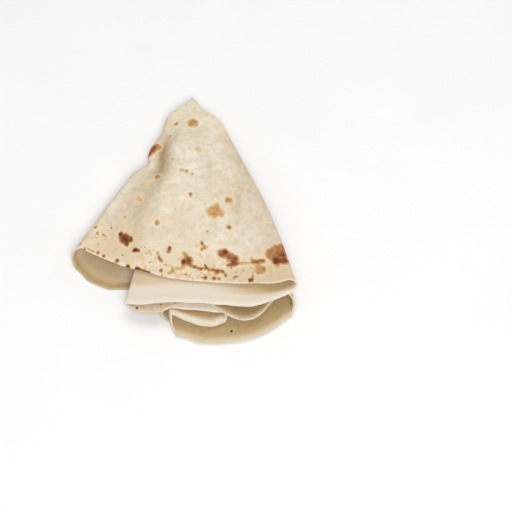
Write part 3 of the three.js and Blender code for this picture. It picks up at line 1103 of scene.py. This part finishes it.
def rim_specks(nodes, spot):
    """Toasted specks that get denser towards the rims."""
    inputs = {"Vector": spot.place, "Scale": SPECK_CELLS}
    cells = nodes.add("ShaderNodeTexVoronoi", inputs, voronoi_dimensions="2D").outputs
    pick, tone, size = nodes.split(Value(nodes, cells["Color"]))
    clustered = nodes.patches(spot.place, "cluster", *SPECK_CHANCE)
    chosen = nodes.calc("LESS_THAN", pick, nodes.ease(spot.rim_gap, *SPECK_RIM) * clustered)
    dot = nodes.ease(Value(nodes, cells["Distance"]), 0, nodes.ease(size, *SPECK_SIZES), 1, 0)
    shown = spot.dry_outside * nodes.ease(spot.facing_up, *SPECK_FACING)
    return chosen * dot * shown * nodes.ease(tone, *SPECK_TONES)


def stray_specks(nodes, spot, tip):
    """Lone specks on the folds below the cover, shown only where shade is painted on them."""
    x, y, _ = nodes.split(spot.place)
    plan = nodes.joined(x, y, 0)
    darkest = 0.0
    for speck_x, forward, radius, dark in STRAY_SPECKS:
        centre = (tip.x + speck_x * MM, tip.y - forward * MM, 0)
        inside, outside = (share * radius * MM for share in STRAY_EDGE)
        darkest = nodes.most(darkest, nodes.ease(nodes.gap(plan, centre), inside, outside, dark, 0))
    below = nodes.ease(spot.facing_up, *STRAY_FACING) * (1 - spot.upper)
    return darkest * below * nodes.ease(spot.damp, *STRAY_ON_SHADE)


def toasting(nodes, spot, tip):
    """How toasted a place looks: the marks with their uneven charring, and the specks."""
    char = nodes.noise(spot.place, *CHAR_FINE) - 0.5
    char = char + nodes.swing(spot.place, CHAR_BROAD_GRAINS) * CHAR_BROAD
    uneven = nodes.ease(spot.toast, *THIN_TOAST_CHAR) + spot.toast * DARK_TOAST_CHAR
    toast = spot.toast * TOAST_GAIN + uneven * char
    toast = nodes.most(toast, rim_specks(nodes, spot))
    return nodes.most(toast, stray_specks(nodes, spot, tip))


def crumb_bump(nodes, place):
    """The fine crumb of the surface."""
    height = sum(nodes.noise(place, *cloud) * strength for *cloud, strength in CRUMBS)
    inputs = {"Strength": CRUMB_STRENGTH, "Distance": CRUMB_DEPTH * MM, "Height": height}
    return nodes.made("ShaderNodeBump", inputs)


def bread_finish(tip):
    """Soft wheat bread: cream with ivory mottling, toasted marks on the outer face, specks at the rim."""
    material = bpy.data.materials.new("baked_bread")
    material.use_nodes = True
    nodes = FinishNodes(material.node_tree)
    spot = bread_measures(nodes)
    colour = toned(nodes, spot, dough_colour(nodes, spot))
    toast = toasting(nodes, spot, tip)
    colour = nodes.mixed(nodes.ease(toast, *TOAST_COVERS), colour, nodes.ramp(toast, TOAST_STOPS))
    surface = material.node_tree.nodes["Principled BSDF"].inputs
    nodes.feed(surface["Base Color"], colour)
    nodes.feed(surface["Roughness"], nodes.ease(toast, *BREAD_ROUGHNESS))
    nodes.feed(surface["Normal"], crumb_bump(nodes, spot.place))
    surface["Specular IOR Level"].default_value = BREAD_SHINE
    surface["Subsurface Weight"].default_value = GLOW_SHARE
    surface["Subsurface Radius"].default_value = GLOW_REACH
    surface["Subsurface Scale"].default_value = GLOW_DEPTH * MM
    return material


def floor_finish():
    """A plain pale table top with a hardly visible grain."""
    material = bpy.data.materials.new("pale_floor")
    material.use_nodes = True
    nodes = FinishNodes(material.node_tree)
    grain = nodes.noise(nodes.made("ShaderNodeTexCoord", output="Object"), FLOOR_GRAINS, FLOOR_DETAIL)
    surface = material.node_tree.nodes["Principled BSDF"].inputs
    nodes.feed(surface["Base Color"], nodes.mixed(grain, *FLOOR_GREYS))
    surface["Roughness"].default_value = FLOOR_ROUGHNESS
    return material


def pale_floor():
    half = FLOOR_SIZE / 2 * MM
    mesh = bpy.data.meshes.new("pale_floor")
    corners = [(-half, -half, 0), (half, -half, 0), (half, half, 0), (-half, half, 0)]
    mesh.from_pydata(corners, [], [(0, 1, 2, 3)])
    mesh.materials.append(floor_finish())
    return placed("pale_floor", mesh)


def turned_to(thing, target):
    """Points a lamp or camera at a place."""
    thing.rotation_euler = (target - thing.location).to_track_quat("-Z", "Y").to_euler()


def studio_light():
    for name, (place, size, power) in LAMPS.items():
        light = bpy.data.lights.new(name, "AREA")
        light.size = size * MM
        light.energy = power
        lamp = placed(name, light)
        lamp.location = Vector(place) * MM
        turned_to(lamp, Vector((0, 0, 0)))
    world = bpy.data.worlds.new("soft_room")
    world.use_nodes = True
    sky = world.node_tree.nodes["Background"]
    sky.inputs["Color"].default_value = (1, 1, 1, 1)
    sky.inputs["Strength"].default_value = WORLD_LIGHT
    bpy.context.scene.world = world
    bpy.context.scene.view_settings.view_transform = "Standard"


def photo_camera():
    """A camera that looks at the roti as the photo does."""
    data = bpy.data.cameras.new("camera")
    data.lens = LENS
    camera = placed("camera", data)
    target = Vector(VIEW_MIDDLE) * MM
    angle = math.radians(VIEW_ELEVATION)
    back = Vector((0, -math.cos(angle), math.sin(angle)))
    camera.location = target + back * VIEW_DISTANCE * MM
    turned_to(camera, target)
    bpy.context.scene.camera = camera


low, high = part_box(NODE)
tip_place = Vector(((low[0] + high[0]) / 2 + TIP_SIDE * MM, high[1], 0))
roti = folded_bread(tip_place, bread_finish(tip_place))
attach(roti, "root")
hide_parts(NODE)
pale_floor()
studio_light()
photo_camera()
